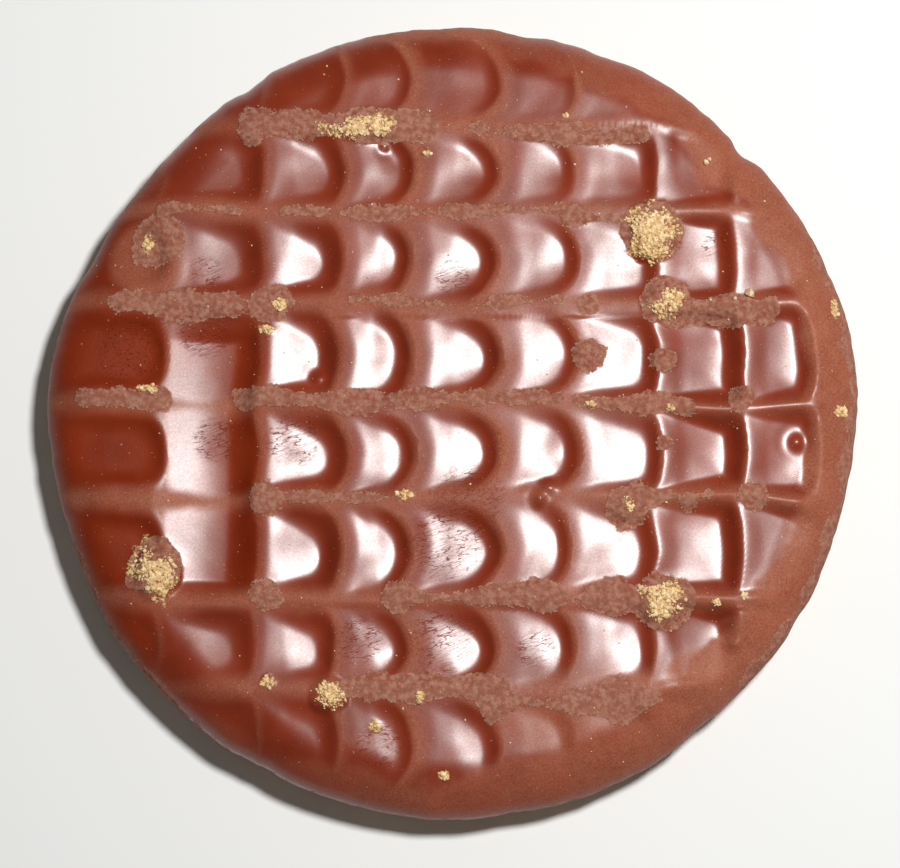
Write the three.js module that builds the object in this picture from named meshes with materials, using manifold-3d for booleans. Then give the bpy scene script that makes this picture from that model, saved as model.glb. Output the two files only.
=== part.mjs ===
// A digestive biscuit with one face coated in milk chocolate. It lies on its plain baked face with
// the chocolate up. Millimetres, +Z up, origin on the ground under the middle of its outline.
// Two solids: the baked biscuit, and the coat, whose top is a pattern of straight ridges with rows
// of curved scoops between them, worn flat on the crests and with a few crumb clumps set in it.

import * as THREE from 'three';
import Module from 'manifold-3d';
import { mergeVertices } from 'three/addons/utils/BufferGeometryUtils.js';

const degrees = Math.PI / 180;

// ---- driving dimensions: the outline, shared by both solids ----

const meanRadius = 34.2;
const outlineWaves = [            // [waves round the rim, height, angle of the first crest times waves]
  [2, 0.23, 79], [3, 0.09, 144], [4, 0.19, 16], [5, 0.07, 137],
  [6, 0.09, -34], [7, 0.12, 105], [9, 0.06, 111], [12, 0.05, 2],
];
const rimSegments = 120;

// ---- driving dimensions: the baked biscuit ----

const bakedHeight = 5.5;          // ground to the face under the chocolate
const bakedInset = 0.55;          // the baked side lies this far inside the coated outline
const footRound = { width: 2.5, height: 2.2 };
const bakedShoulder = { width: 3.65, height: 1.9 };
const roundSteps = 4;             // rings on each rounded edge
const dockerRings = [             // the holes pricked into the plain face before baking
  { radius: 8.2, count: 5, turn: 12 },
  { radius: 17.0, count: 10, turn: 30 },
  { radius: 25.4, count: 15, turn: 6 },
];
const docker = { mouthRadius: 0.95, tipRadius: 0.5, depth: 3.0, sides: 10, stray: 0.35 };

// ---- driving dimensions: the chocolate coat ----

const crestHeight = 7.2;          // ground to the tops of the ridges
const coatShoulder = { width: 4.8, height: 3.1 };
const coatSideTurns = [0, 15, 29];         // degrees up the shoulder of the rings on the coat's side
const coatGap = 0.1;              // clearance between the coat and the baked biscuit
const lipHeight = 3.0;            // where the coat ends on the side
const lip = { round: 0.22, tuck: 0.05 };   // its rounding, and how far it is tucked in
const lipWaves = [[3, 0.25, 60], [5, 0.12, 200], [8, 0.16, 120], [13, 0.1, 30]];
const gridCells = 60;             // faces across the top of the coat
const gridInset = 1.2;            // the top's grid ends this far inside the outline
const rimLevel = 0.35;            // the smooth rim lies this far under the crests
const reliefFade = { start: 0.8, width: 3.6 };

// ---- driving dimensions: the coat's pattern ----

const ridgeLines = [35.5, 26.6, 18.9, 10.6, 1.7, -6.5, -15.0, -23.1, -31.8];   // Y of each ridge
const rowDepths = [0.45, 0.95, 1, 1, 1, 1, 0.95, 0.7];                         // share of full depth
// The crests that part the scoops of a row bulge to the right, with the tip at x. To the right of a
// crest lies a level top, and from its foot the floor falls at the angle start, which soon turns to
// the angle end, and lifts by curl towards the walls round it. The wall that rises to a crest from
// its left has the angle wall.
const crestLines = [
  { x: -40.0, bulge: 0.0, top: 0.0, start: 0, end: 0, curl: 0, wall: 20 },
  { x: -25.4, bulge: 1.6, top: 0.3, start: 14, end: 9, curl: 0.1, wall: 46 },
  { x: -16.9, bulge: 1.4, top: 0.6, start: 10, end: 14, curl: 0.12, wall: 27 },
  { x: -9.8, bulge: 2.8, top: 1.1, start: 7, end: 15, curl: 0.2, wall: 36 },
  { x: -3.7, bulge: 4.5, top: 1.5, start: 6, end: 12, curl: 0.14, wall: 36 },
  { x: 3.8, bulge: 5.3, top: 1.7, start: 4, end: 12, curl: 0.14, wall: 36 },
  { x: 10.4, bulge: 4.0, top: 1.0, start: 4, end: 9, curl: 0.1, wall: 36 },
  { x: 17.4, bulge: 1.2, top: 0.2, start: 17, end: 16, curl: 0.3, wall: 32 },
  { x: 24.8, bulge: 0.8, top: 0.2, start: 16, end: 15, curl: 0.3, wall: 28 },
  { x: 31.6, bulge: 1.6, top: 4.0, start: 0, end: 0, curl: 0, wall: 24 },
  { x: 40.0, bulge: 0.0, top: 0.0, start: 0, end: 0, curl: 0, wall: 20 },
];
const ridgeWall = { top: 20, bottom: 34 };                // angles of a scoop's walls along its ridges
const ridgeHalf = { top: 0.32, bottom: 0.36 };            // rise cut off where a wall meets its ridge
const blend = { corner: 1.1, top: 0.7, floor: 0.5, crest: 0.35, start: 0.5 };
const floorBend = 1.0;            // how far from its crest a floor has turned to its second angle
const floorTurn = { from: 0.3, share: 0.25, middle: 0.45, wall: 28, blend: 0.6 };
const curlReach = 1.3;
const curlStart = 0.5;            // the curl begins where a floor lies this deep
const arch = { peak: 0.55, round: 0.98, foot: 0.5 };      // how far down its row a crest has its tip
// crests left of this X have flat floors with round corners between broad ridges
const pressed = { x: -30, depth: 0.75, wall: 34, half: 0.5, corner: 2.0 };
// one column runs on through its ridges, between low and high
const trough = {
  left: -26.2, right: -17.9, floor: 13, wall: 27, share: 0.85, low: -16, high: 9.5, fade: 2.5,
};
const ridgeWobble = { height: 0.8, length: 8.0 };
const crestWobble = { height: 0.3, length: 2.2, shift: 0.8, bulge: 0.4 };
const floorUneven = 0.3;          // share by which the floors' angles differ
// the pattern and the clumps are laid out a little larger than they lie on the coat, and higher up
const patternPlace = { scaleX: 0.97, scaleY: 0.98, shiftX: 0.12, shiftY: -1.29 };

const clumps = [                  // crumbs of biscuit set in the coat
  { x: -8.2, y: 26.2, width: 3.4, depth: 1.3, rise: 0.4 },
  { x: 17.2, y: 17.0, width: 2.3, depth: 2.8, rise: 0.5 },
  { x: 18.2, y: 10.7, width: 2.0, depth: 1.6, rise: 0.45 },
  { x: -25.9, y: -12.9, width: 2.2, depth: 2.7, rise: 0.5 },
  { x: -10.8, y: -23.5, width: 1.9, depth: 1.9, rise: 0.5 },
  { x: 17.7, y: -15.4, width: 2.1, depth: 2.1, rise: 0.35 },
  { x: 14.7, y: -7.3, width: 1.3, depth: 1.3, rise: 0.35 },
];
const clumpEdge = 0.8;            // share of a clump over which its rise begins
const clumpFill = 2;              // how soon a rising clump fills the pattern under it

// ---- small sums ----

const { clamp, lerp: mix, smoothstep } = THREE.MathUtils;
const slope = (angle) => Math.tan(angle * degrees);

function softMin(a, b, reach) {
  const share = clamp(0.5 + 0.5 * (b - a) / reach, 0, 1);
  return mix(b, a, share) - reach * share * (1 - share);
}

function softMax(a, b, reach) {
  return -softMin(-a, -b, reach);
}

function draw(i, j, seed) {       // a fixed random number from 0 to 1 for each whole i and j
  const value = Math.sin(i * 127.1 + j * 311.7 + seed * 74.7) * 43758.5453;
  return value - Math.floor(value);
}

function wander(along, line, seed) {     // a smooth wave between -0.5 and 0.5, its own for each line
  const cell = Math.floor(along);
  const part = along - cell;
  return mix(draw(cell, line, seed), draw(cell + 1, line, seed), part * part * (3 - 2 * part)) - 0.5;
}

function waves(angle, list) {
  const wave = ([count, height, turn]) => height * Math.cos(count * angle - turn * degrees);
  return list.reduce((sum, each) => sum + wave(each), 0);
}

// ---- the outline ----

const rimAngle = (k, count = rimSegments) => 2 * Math.PI * k / count;
const outlineRadius = (angle) => meanRadius + waves(angle, outlineWaves);

function outlineMiddle() {        // the middle of the outline's box, which becomes the origin
  const box = new THREE.Box2();
  for (let k = 0; k < rimSegments; k++) {
    const point = new THREE.Vector2(outlineRadius(rimAngle(k)), 0);
    box.expandByPoint(point.rotateAround(new THREE.Vector2(), rimAngle(k)));
  }
  return box.getCenter(new THREE.Vector2());
}

const middle = outlineMiddle();

// ---- a mesh made ring by ring ----

class RingMesh {
  constructor() {
    this.points = [];
    this.faces = [];
  }

  point(x, y, z) {
    this.points.push(x - middle.x, y - middle.y, z);
    return this.points.length / 3 - 1;
  }

  ring(inset, heightAt) {         // a level or wavy ring that runs inside the outline by inset
    return Array.from({ length: rimSegments }, (_, k) => {
      const angle = rimAngle(k);
      const radius = outlineRadius(angle) - inset;
      return this.point(radius * Math.cos(angle), radius * Math.sin(angle), heightAt(angle));
    });
  }

  band(first, second) {           // joins two rings; the second may have twice the points
    const count = first.length;
    const fine = second.length / count;
    for (let k = 0; k < count; k++) {
      const next = (k + 1) % count;
      const start = second[fine * k];
      const half = second[fine * k + 1];
      const end = second[fine * next];
      if (fine === 2) {
        this.faces.push(first[k], half, start, first[k], first[next], half, first[next], end, half);
      } else {
        this.faces.push(first[k], first[next], end, first[k], end, start);
      }
    }
  }

  cap(ring, height, up) {
    const centre = this.point(0, 0, height);
    ring.forEach((point, k) => {
      const next = ring[(k + 1) % ring.length];
      this.faces.push(centre, ...(up ? [point, next] : [next, point]));
    });
  }

  geometry() {
    const made = new THREE.BufferGeometry();
    made.setAttribute('position', new THREE.Float32BufferAttribute(this.points, 3));
    made.setIndex(this.faces);
    return made;
  }
}

// quarter of an ellipse from the side, at step 0, to the flat face: how far in and how far along
function roundedEdge({ width, height }, step) {
  const turn = 90 * degrees * step / roundSteps;
  return { inset: width * (1 - Math.cos(turn)), along: height * Math.sin(turn) };
}

// ---- the baked biscuit ----

function bakedRings(mesh) {
  const rings = [];
  for (let step = roundSteps; step >= 0; step--) {
    const { inset, along } = roundedEdge(footRound, step);
    rings.push(mesh.ring(bakedInset + inset, () => footRound.height - along));
  }
  for (let step = 0; step <= roundSteps; step++) {
    const { inset, along } = roundedEdge(bakedShoulder, step);
    rings.push(mesh.ring(bakedInset + inset, () => bakedHeight - bakedShoulder.height + along));
  }
  return rings;
}

function dockerHole(x, y) {
  const { mouthRadius, tipRadius, depth, sides } = docker;
  const below = 0.5;              // the cutter starts under the face so that it cuts right through it
  const taper = (mouthRadius - tipRadius) / depth;
  const profile = [
    [0, -below], [mouthRadius + taper * below, -below], [tipRadius, depth], [0, depth],
  ].map(([radius, along]) => new THREE.Vector2(radius, along));
  const cutter = new THREE.LatheGeometry(profile, sides).rotateX(90 * degrees);
  return cutter.translate(x - middle.x, y - middle.y, 0);
}

function dockerHoles() {
  return dockerRings.flatMap(({ radius, count, turn }, line) => (
    Array.from({ length: count }, (_, k) => {
      const angle = rimAngle(k, count) + turn * degrees;
      const strayX = docker.stray * (2 * draw(k, line, 51) - 1);
      const strayY = docker.stray * (2 * draw(k, line, 52) - 1);
      return dockerHole(radius * Math.cos(angle) + strayX, radius * Math.sin(angle) + strayY);
    })
  ));
}

// ---- the pattern on the coat ----

function ridgeAt(index, x) {
  return ridgeLines[index] + ridgeWobble.height * wander(x / ridgeWobble.length, index, 3);
}

function rowAt(x, y) {            // the row that a point lies in, with the ridges above and below it
  let row = 0;
  while (row < rowDepths.length - 1 && y <= ridgeAt(row + 1, x)) row++;
  return { row, top: ridgeAt(row, x), low: ridgeAt(row + 1, x) };
}

function archAt(share) {          // how far a crest falls back from its tip, and how fast
  const { peak, round, foot } = arch;
  const above = clamp(1 - share / peak, 0, 1);
  const below = clamp((share - peak) / (1 - peak), 0, 1);
  const arc = Math.sqrt(1 - round * above * above);
  return {
    back: 1 - arc + foot * below * below,
    fast: round * above / arc / peak + 2 * foot * below / (1 - peak),
  };
}

function crestAt(index, row, y, back) {
  const { x, bulge } = crestLines[index];
  const shift = crestWobble.shift * (draw(index, row, 11) - 0.5);
  const drop = bulge * (1 + crestWobble.bulge * (draw(index, row, 12) - 0.5)) * back;
  return x + shift - drop + crestWobble.height * wander(y / crestWobble.length, index, 21);
}

// a floor falls away from its crest, and lower down its row it is turned flatter about its middle
function floorDepth(column, row, away, width, share) {
  const { top, start, end } = crestLines[column];
  const uneven = 1 + floorUneven * (draw(column, row, 13) - 0.5);
  const [first, last] = [slope(start * uneven), slope(end * uneven)];
  const fall = (along) => last * along + (first - last) * floorBend * (1 - Math.exp(-along / floorBend));
  const along = softMax(away - top, 0, blend.start);
  const flat = floorTurn.share * smoothstep(share, floorTurn.from, 1);
  const turned = mix(fall(along), fall(floorTurn.middle * width), flat);
  return softMin(slope(floorTurn.wall) * along, turned, floorTurn.blend);
}

function troughDepth(x, y) {
  const { left, right, low, high, fade, share } = trough;
  const sway = wander(y / ridgeWobble.length, 0, 23);
  const floor = slope(trough.floor) * (x - left - sway);
  const wall = slope(trough.wall) * (right + sway - x);
  const inside = smoothstep(y, low, low + fade) * smoothstep(-y, -high, fade - high);
  return share * inside * softMin(floor, wall, blend.floor);
}

// how far the coat lies under the plane of its crests: a floor that falls away to the right of each
// crest, inside the walls that rise to the next crest and to the ridges above and below
function patternDepth(x, y) {
  const { row, top, low } = rowAt(x, y);
  const share = clamp((top - y) / (top - low), 0, 1);
  const { back, fast } = archAt(share);
  let column = 0;
  while (column < crestLines.length - 2 && x >= crestAt(column + 1, row, y, back)) column++;
  const left = crestAt(column, row, y, back);
  const right = crestAt(column + 1, row, y, back);
  // a distance along X becomes one square to the crest, which slants where it bulges
  const square = (index) => 1 / Math.hypot(1, crestLines[index].bulge * fast / (top - low));

  const isPressed = crestLines[column].x < pressed.x;
  const floor = isPressed
    ? pressed.depth
    : floorDepth(column, row, (x - left) * square(column), right - left, share);
  const half = isPressed ? pressed.half : 0;
  const corner = isPressed ? pressed.corner : blend.corner;
  const topAngle = isPressed ? pressed.wall : ridgeWall.top;
  const rightWall = slope(crestLines[column + 1].wall) * (right - x) * square(column + 1);
  const topWall = slope(topAngle) * (top - y) - ridgeHalf.top - half;
  const bottomWall = slope(ridgeWall.bottom) * (y - low) - ridgeHalf.bottom - half;
  const walls = softMin(softMin(rightWall, bottomWall, corner), topWall, Math.max(corner, blend.top));
  const near = Math.exp(-Math.max(walls - floor, 0) / curlReach) * smoothstep(floor, 0, curlStart);
  const scoop = softMin(floor - crestLines[column].curl * near, walls, blend.floor);
  return rowDepths[row] * softMax(softMax(scoop, troughDepth(x, y), blend.crest), 0, blend.crest);
}

function clumpRise(x, y) {
  return clumps.reduce((sum, { x: atX, y: atY, width, depth, rise }) => {
    const inside = 1 - ((x - atX) / width) ** 2 - ((y - atY) / depth) ** 2;
    return sum + rise * smoothstep(inside, 0, clumpEdge);
  }, 0);
}

function coatHeight(x, y, edge) {        // edge is the distance inside the outline
  const { width, height } = coatShoulder;
  const inner = 1 - Math.min(edge / width, 1);
  const level = crestHeight - height * (1 - Math.sqrt(1 - inner * inner));
  const fade = smoothstep(edge, reliefFade.start, reliefFade.start + reliefFade.width);
  const { scaleX, scaleY, shiftX, shiftY } = patternPlace;
  const laid = [(x - shiftX) / scaleX, (y - shiftY) / scaleY];
  const clump = clumpRise(...laid);
  const depth = mix(patternDepth(...laid), 0, Math.min(clumpFill * clump, 1));
  return level - mix(rimLevel, depth, fade) + clump;
}

// ---- the coat: a square grid bent into a disc, with a skirt that laps over the side ----

function gridPlace(u, v) {        // from the square -1..1 to the disc of radius 1, as angle and radius
  if (u === 0 && v === 0) return { angle: 0, share: 0 };
  const wide = Math.abs(u) >= Math.abs(v);
  const signed = wide ? u : v;
  const turn = wide ? 45 * degrees * v / u : 90 * degrees - 45 * degrees * u / v;
  return { angle: signed > 0 ? turn : turn + Math.PI, share: Math.abs(signed) };
}

function coatTop(mesh) {          // returns the grid's own rim, in order round the disc
  const rows = [];
  const rim = [];
  for (let j = 0; j <= gridCells; j++) {
    rows.push([]);
    for (let i = 0; i <= gridCells; i++) {
      const { angle, share } = gridPlace(2 * i / gridCells - 1, 2 * j / gridCells - 1);
      const radius = share * (outlineRadius(angle) - gridInset);
      const x = radius * Math.cos(angle);
      const y = radius * Math.sin(angle);
      const index = mesh.point(x, y, coatHeight(x, y, outlineRadius(angle) - radius));
      rows[j].push(index);
      if (share === 1) rim.push({ index, turn: (angle + 2 * Math.PI) % (2 * Math.PI) });
    }
  }
  for (let j = 0; j < gridCells; j++) {
    for (let i = 0; i < gridCells; i++) {
      const [a, b, c, d] = [rows[j][i], rows[j][i + 1], rows[j + 1][i + 1], rows[j + 1][i]];
      mesh.faces.push(...((i + j) % 2 ? [a, b, c, a, c, d] : [a, b, d, b, c, d]));
    }
  }
  return rim.sort((one, two) => one.turn - two.turn).map(({ index }) => index);
}

function coatRings(mesh) {
  const lipAt = (angle) => lipHeight + waves(angle, lipWaves);
  const inner = bakedInset - coatGap;
  const bakedSide = bakedHeight - bakedShoulder.height;
  const lining = { ...bakedShoulder, height: bakedShoulder.height + coatGap };
  const rings = [];
  for (let step = roundSteps; step >= 0; step--) {
    const { inset, along } = roundedEdge(lining, step);
    rings.push(mesh.ring(inner + inset, () => bakedSide + along));
  }
  rings.push(mesh.ring(inner, (angle) => Math.min(lipAt(angle) + lip.round, bakedSide - coatGap)));
  rings.push(mesh.ring(inner / 2, lipAt));
  rings.push(mesh.ring(lip.tuck, (angle) => lipAt(angle) + lip.round));
  for (const turn of coatSideTurns) {
    const inset = coatShoulder.width * (1 - Math.cos(turn * degrees));
    const drop = coatShoulder.height * (1 - Math.sin(turn * degrees));
    rings.push(mesh.ring(inset, () => crestHeight - rimLevel - drop));
  }
  return rings;
}

// ---- putting the pieces together ----

const wasm = await Module();
wasm.setup();

function bare(geometry) {         // only positions, with shared points merged
  geometry.deleteAttribute('normal');
  geometry.deleteAttribute('uv');
  return mergeVertices(geometry, 1e-3);
}

function toSolid(geometry) {
  const { attributes, index } = bare(geometry);
  return new wasm.Manifold(new wasm.Mesh({
    numProp: 3,
    vertProperties: new Float32Array(attributes.position.array),
    triVerts: new Uint32Array(index.array),
  }));
}

function toGeometry(solid) {
  const { vertProperties, triVerts } = solid.getMesh();
  const made = new THREE.BufferGeometry();
  made.setAttribute('position', new THREE.BufferAttribute(vertProperties, 3));
  made.setIndex(new THREE.BufferAttribute(triVerts, 1));
  return made;
}

function bakedGeometry() {
  const mesh = new RingMesh();
  const rings = bakedRings(mesh);
  mesh.cap(rings[0], 0, false);
  rings.slice(1).forEach((ring, k) => mesh.band(rings[k], ring));
  mesh.cap(rings[rings.length - 1], bakedHeight, true);
  const holes = dockerHoles().map(toSolid);
  return toGeometry(holes.reduce((body, hole) => body.subtract(hole), toSolid(mesh.geometry())));
}

function coatGeometry() {
  const mesh = new RingMesh();
  const rings = coatRings(mesh);
  mesh.cap(rings[0], bakedHeight + coatGap, false);
  rings.slice(1).forEach((ring, k) => mesh.band(rings[k], ring));
  mesh.band(rings[rings.length - 1], coatTop(mesh));
  return mesh.geometry();
}

function piece(name, geometry, look) {
  const mesh = new THREE.Mesh(geometry, new THREE.MeshStandardMaterial(look));
  mesh.name = name;
  return mesh;
}

const digestive = new THREE.Group();
digestive.add(piece('biscuit', bakedGeometry(), { color: 0xc98f4e, roughness: 0.9, metalness: 0 }));
digestive.add(piece('chocolate', coatGeometry(), { color: 0x7a3a24, roughness: 0.35, metalness: 0 }));

export default digestive;
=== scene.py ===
# A digestive biscuit with one face coated in milk chocolate, lying with the chocolate up.
# Shapes are worked out in millimetres from the middle of the outline and placed in metres.

import math
from types import SimpleNamespace

import bpy
import numpy as np
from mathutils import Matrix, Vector


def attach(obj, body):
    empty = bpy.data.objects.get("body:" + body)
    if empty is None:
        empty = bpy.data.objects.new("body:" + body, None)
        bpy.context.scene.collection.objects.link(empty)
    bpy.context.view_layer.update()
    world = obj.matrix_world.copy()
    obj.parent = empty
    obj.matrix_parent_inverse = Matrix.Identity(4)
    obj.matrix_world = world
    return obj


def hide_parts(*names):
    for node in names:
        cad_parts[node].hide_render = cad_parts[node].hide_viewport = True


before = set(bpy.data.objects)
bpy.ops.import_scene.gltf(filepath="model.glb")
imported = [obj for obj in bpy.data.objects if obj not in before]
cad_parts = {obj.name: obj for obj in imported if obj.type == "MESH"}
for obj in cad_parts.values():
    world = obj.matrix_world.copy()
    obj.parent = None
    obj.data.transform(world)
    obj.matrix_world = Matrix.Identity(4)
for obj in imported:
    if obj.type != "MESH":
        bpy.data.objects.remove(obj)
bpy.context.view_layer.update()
metre = 0.001                        # one millimetre
print("the frame is loaded")


# small sums, on whole arrays; a seed only keeps one draw from repeating another

def mix(a, b, share):
    return a + (b - a) * share


def softMin(a, b, reach):
    share = np.clip(0.5 + 0.5 * (b - a) / reach, 0, 1)
    return mix(b, a, share) - reach * share * (1 - share)


def softMax(a, b, reach):
    return -softMin(-a, -b, reach)


def ease(value, start, end):
    share = np.clip((value - start) / (end - start), 0, 1)
    return share * share * (3 - 2 * share)


def slope(degrees):
    return np.tan(np.radians(degrees))


def draw(i, j, seed):                # a fixed random number from 0 to 1 for each whole i and j
    value = np.sin(i * 127.1 + j * 311.7 + seed * 74.7) * 43758.5453
    return value - np.floor(value)


def wander(along, line, seed):       # a smooth wave between -0.5 and 0.5, its own for each line
    cell = np.floor(along)
    part = along - cell
    return mix(draw(cell, line, seed), draw(cell + 1, line, seed), part * part * (3 - 2 * part)) - 0.5


def lumps(x, y, size, seed):         # smooth lumps of about that size, between -1 and 1
    total = np.zeros_like(x)
    for turn in (0.5, 1.8):          # two turned grids hide each other's straight lines
        across = (x * math.cos(turn) + y * math.sin(turn)) / size + 31.7 * turn
        along = (y * math.cos(turn) - x * math.sin(turn)) / size + 17.3 * turn
        left, low = np.floor(across), np.floor(along)
        right, up = ease(across - left, 0, 1), ease(along - low, 0, 1)
        bottom = mix(draw(left, low, seed), draw(left + 1, low, seed), right)
        top = mix(draw(left, low + 1, seed), draw(left + 1, low + 1, seed), right)
        total += mix(bottom, top, up) - 0.5
    return total


def crags(x, y, kind):               # lumps upon lumps; the kind gives their height, size and seed
    height, size, seed = kind
    layers = ((1, 1), (0.5, 2.1), (0.25, 4.3))       # share of the height, and how many times finer
    return height * sum(
        share * lumps(x, y, size / finer, seed + layer)
        for layer, (share, finer) in enumerate(layers))


# the outline, shared by the biscuit and its coat

outline = {
    "meanRadius": 34.2,
    "waves": [                       # waves round the rim, height, angle of the first crest times waves
        (2, 0.23, 79), (3, 0.09, 144), (4, 0.19, 16), (5, 0.07, 137),
        (6, 0.09, -34), (7, 0.12, 105), (9, 0.06, 111), (12, 0.05, 2),
    ],
    "boxPoints": 120,                # points whose box gives the middle
    "notches": [                     # angle, depth, half width in degrees
        (43, 0.6, 2.2), (50, 0.2, 5), (67, 0.25, 4), (80, 0.3, 2.5), (93, 0.15, 3), (122, 0.4, 2.5),
        (157, 0.3, 3), (-52, 0.2, 3), (-30, 0.15, 3), (-118, 0.2, 4), (-82, 0.2, 4),
    ],
    "ragged": (0.1, 1.7, 41),        # crags along the coat's outline
}


def waves(angle, listed):
    return sum(height * np.cos(count * angle - math.radians(turn)) for count, height, turn in listed)


def outlineRadius(angle):
    return outline["meanRadius"] + waves(angle, outline["waves"])


def raggedRadius(angle):             # the coat's own outline, with its small lumps and notches
    radius = outline["meanRadius"]
    total = crags(radius * np.cos(angle), radius * np.sin(angle), outline["ragged"])
    for turn, depth, half in outline["notches"]:
        away = (np.degrees(angle) - turn + 180) % 360 - 180
        total -= depth * np.exp(-(away / half) ** 2)
    return outlineRadius(angle) + total


def outlineMiddle():
    angle = np.arange(outline["boxPoints"]) * 2 * np.pi / outline["boxPoints"]
    x, y = outlineRadius(angle) * np.cos(angle), outlineRadius(angle) * np.sin(angle)
    return (x.min() + x.max()) / 2, (y.min() + y.max()) / 2


middle = outlineMiddle()


# making and filling meshes

def deselectAll():
    if bpy.context.mode != "OBJECT":
        bpy.ops.object.mode_set(mode="OBJECT")
    bpy.ops.object.select_all(action="DESELECT")


def readPoints(piece):
    points = np.zeros(len(piece.data.vertices) * 3, np.float32)
    piece.data.vertices.foreach_get("co", points)
    return points.reshape(-1, 3).astype(float)


def writePoints(piece, x, y, z):     # millimetres from the middle of the outline
    points = np.stack([x - middle[0], y - middle[1], z], -1) * metre
    piece.data.vertices.foreach_set("co", points.astype(np.float32).ravel())
    piece.data.update()


def writeAttribute(piece, name, values):
    made = piece.data.attributes.new(name, "FLOAT", "POINT")
    made.data.foreach_set("value", np.asarray(values, np.float32))


def discWithRings(name, cells, rings):       # a square grid with rings round it, closed by a fan
    drop = 0.1                               # each ring is put this far under the last, to tell them apart
    deselectAll()
    bpy.ops.mesh.primitive_grid_add(x_subdivisions=cells, y_subdivisions=cells, size=2)
    piece = bpy.context.object
    piece.name = name
    bpy.ops.object.mode_set(mode="EDIT")
    bpy.ops.mesh.select_mode(type="EDGE")
    bpy.ops.mesh.select_all(action="DESELECT")
    bpy.ops.mesh.select_non_manifold()
    for ring in range(rings + 1):
        bpy.ops.mesh.extrude_edges_move(TRANSFORM_OT_translate={"value": (0, 0, -drop)})
    bpy.ops.mesh.merge(type="CENTER")
    bpy.ops.object.mode_set(mode="OBJECT")
    points = readPoints(piece)
    angle, share = squareToDisc(points[:, 0], points[:, 1])
    return piece, angle, share, np.rint(-points[:, 2] / drop).astype(int)


def squareToDisc(u, v):              # from the square -1..1 to the disc of radius 1, as angle and radius
    wide = np.abs(u) >= np.abs(v)
    signed = np.where(wide, u, v)
    safe = np.where(np.abs(signed) < 1e-6, 1.0, signed)
    turn = np.where(wide, v / safe, 2 - u / safe) * np.pi / 4
    return np.where(signed > 0, turn, turn + np.pi), np.abs(signed)


def faceOutAndSmooth(piece):
    deselectAll()
    piece.select_set(True)
    bpy.context.view_layer.objects.active = piece
    bpy.ops.object.mode_set(mode="EDIT")
    bpy.ops.mesh.select_all(action="SELECT")
    bpy.ops.mesh.normals_make_consistent(inside=False)
    bpy.ops.object.mode_set(mode="OBJECT")
    bpy.ops.object.shade_smooth()


# the pattern on the coat: straight ridges with rows of curved scoops between them

pattern = {
    "ridges": [35.5, 26.6, 18.9, 10.6, 1.7, -6.5, -15.0, -23.1, -31.8],      # Y of each ridge
    "rowDepths": [0.45, 0.95, 1, 1, 1, 1, 0.95, 0.7],                        # share of full depth
    # X of each crest's tip, bulge, level top, floor's angles at its start and end, bend, curl, wall's angle
    "crests": [
        (-40.0, 0.0, 0.0, 0, 0, 1, 0, 20),
        (-25.4, 1.6, 0.3, 13, 9, 1, 0.1, 46),
        (-16.9, 1.4, 0.6, 10, 14, 1, 0.12, 30),
        (-9.8, 2.8, 1.1, 7, 15, 1, 0.2, 36),
        (-3.7, 4.5, 1.5, 6, 12, 1, 0.14, 36),
        (3.8, 5.3, 1.7, 4, 12, 1, 0.14, 36),
        (10.4, 4.0, 1.0, 4, 9, 1, 0.1, 36),
        (17.4, 1.2, 0.2, 16, 9.5, 2.2, 0.15, 36),
        (24.8, 0.8, 0.2, 15, 8.5, 2.2, 0.15, 42),
        (31.6, 1.6, 4.0, 0, 0, 1, 0, 36),
        (40.0, 0.0, 0.0, 0, 0, 1, 0, 20),
    ],
    "rowTilts": [4, 3.5, 0, 0, 0, 1, 3, 3.5],            # degrees a row's floors fall towards its top
    "walls": {"top": 26, "bottom": 36},                  # degrees
    "steep": {"x": 15, "wall": 44, "corner": 0.5},       # right of this X the ridges are narrow
    "ridgeHalf": {"top": 0.32, "bottom": 0.36},          # rise cut off where a wall meets its ridge
    "blend": {"corner": 0.85, "top": 0.7, "floor": 0.5, "crest": 0.35, "start": 0.5},
    "curl": {"reach": 1.3, "start": 0.5},                # a floor lifts by its curl towards its walls
    # how far down its row a crest has its tip, how round it is above and how far it falls back below
    "arch": {"peak": 0.55, "round": 0.98, "foot": 0.5},
    # lower down its row a floor is turned flatter about its middle
    "turn": {"from": 0.3, "share": 0.25, "middle": 0.45, "wall": 28, "blend": 0.6},
    # crests left of this X have flat floors with round corners between broad ridges
    "pressed": {"x": -30, "depth": 0.75, "wall": 34, "half": 0.5, "corner": 2.0},
    # one column runs on through its ridges
    "trough": {
        "left": -26.2, "right": -17.3, "floor": 13.5, "flatten": 0.0012, "wall": 42, "blend": 0.8,
        "low": -16, "high": 9.5, "fade": 2.5,
    },
    "ridgeWobble": {"height": 0.8, "length": 8.0},
    "crestWobble": {"height": 0.3, "length": 2.2, "shift": 0.8, "bulge": 0.4},
    "uneven": 0.3,                   # share by which the floors' angles differ
}
crestX, crestBulge, crestTop, startAngle, endAngle, floorBend, floorCurl, wallAngle = (
    np.array(pattern["crests"]).T)
rowDepths, rowTilts = np.array(pattern["rowDepths"]), np.array(pattern["rowTilts"])


def ridgeAt(index, x):
    wobble = pattern["ridgeWobble"]
    return pattern["ridges"][index] + wobble["height"] * wander(x / wobble["length"], index, 3)


def arch(share):                     # how far a crest falls back from its tip, and how fast
    peak, rounding, foot = (pattern["arch"][name] for name in ("peak", "round", "foot"))
    above = np.clip(1 - share / peak, 0, 1)
    below = np.clip((share - peak) / (1 - peak), 0, 1)
    arc = np.sqrt(1 - rounding * above * above)
    return 1 - arc + foot * below ** 2, rounding * above / arc / peak + 2 * foot * below / (1 - peak)


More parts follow.
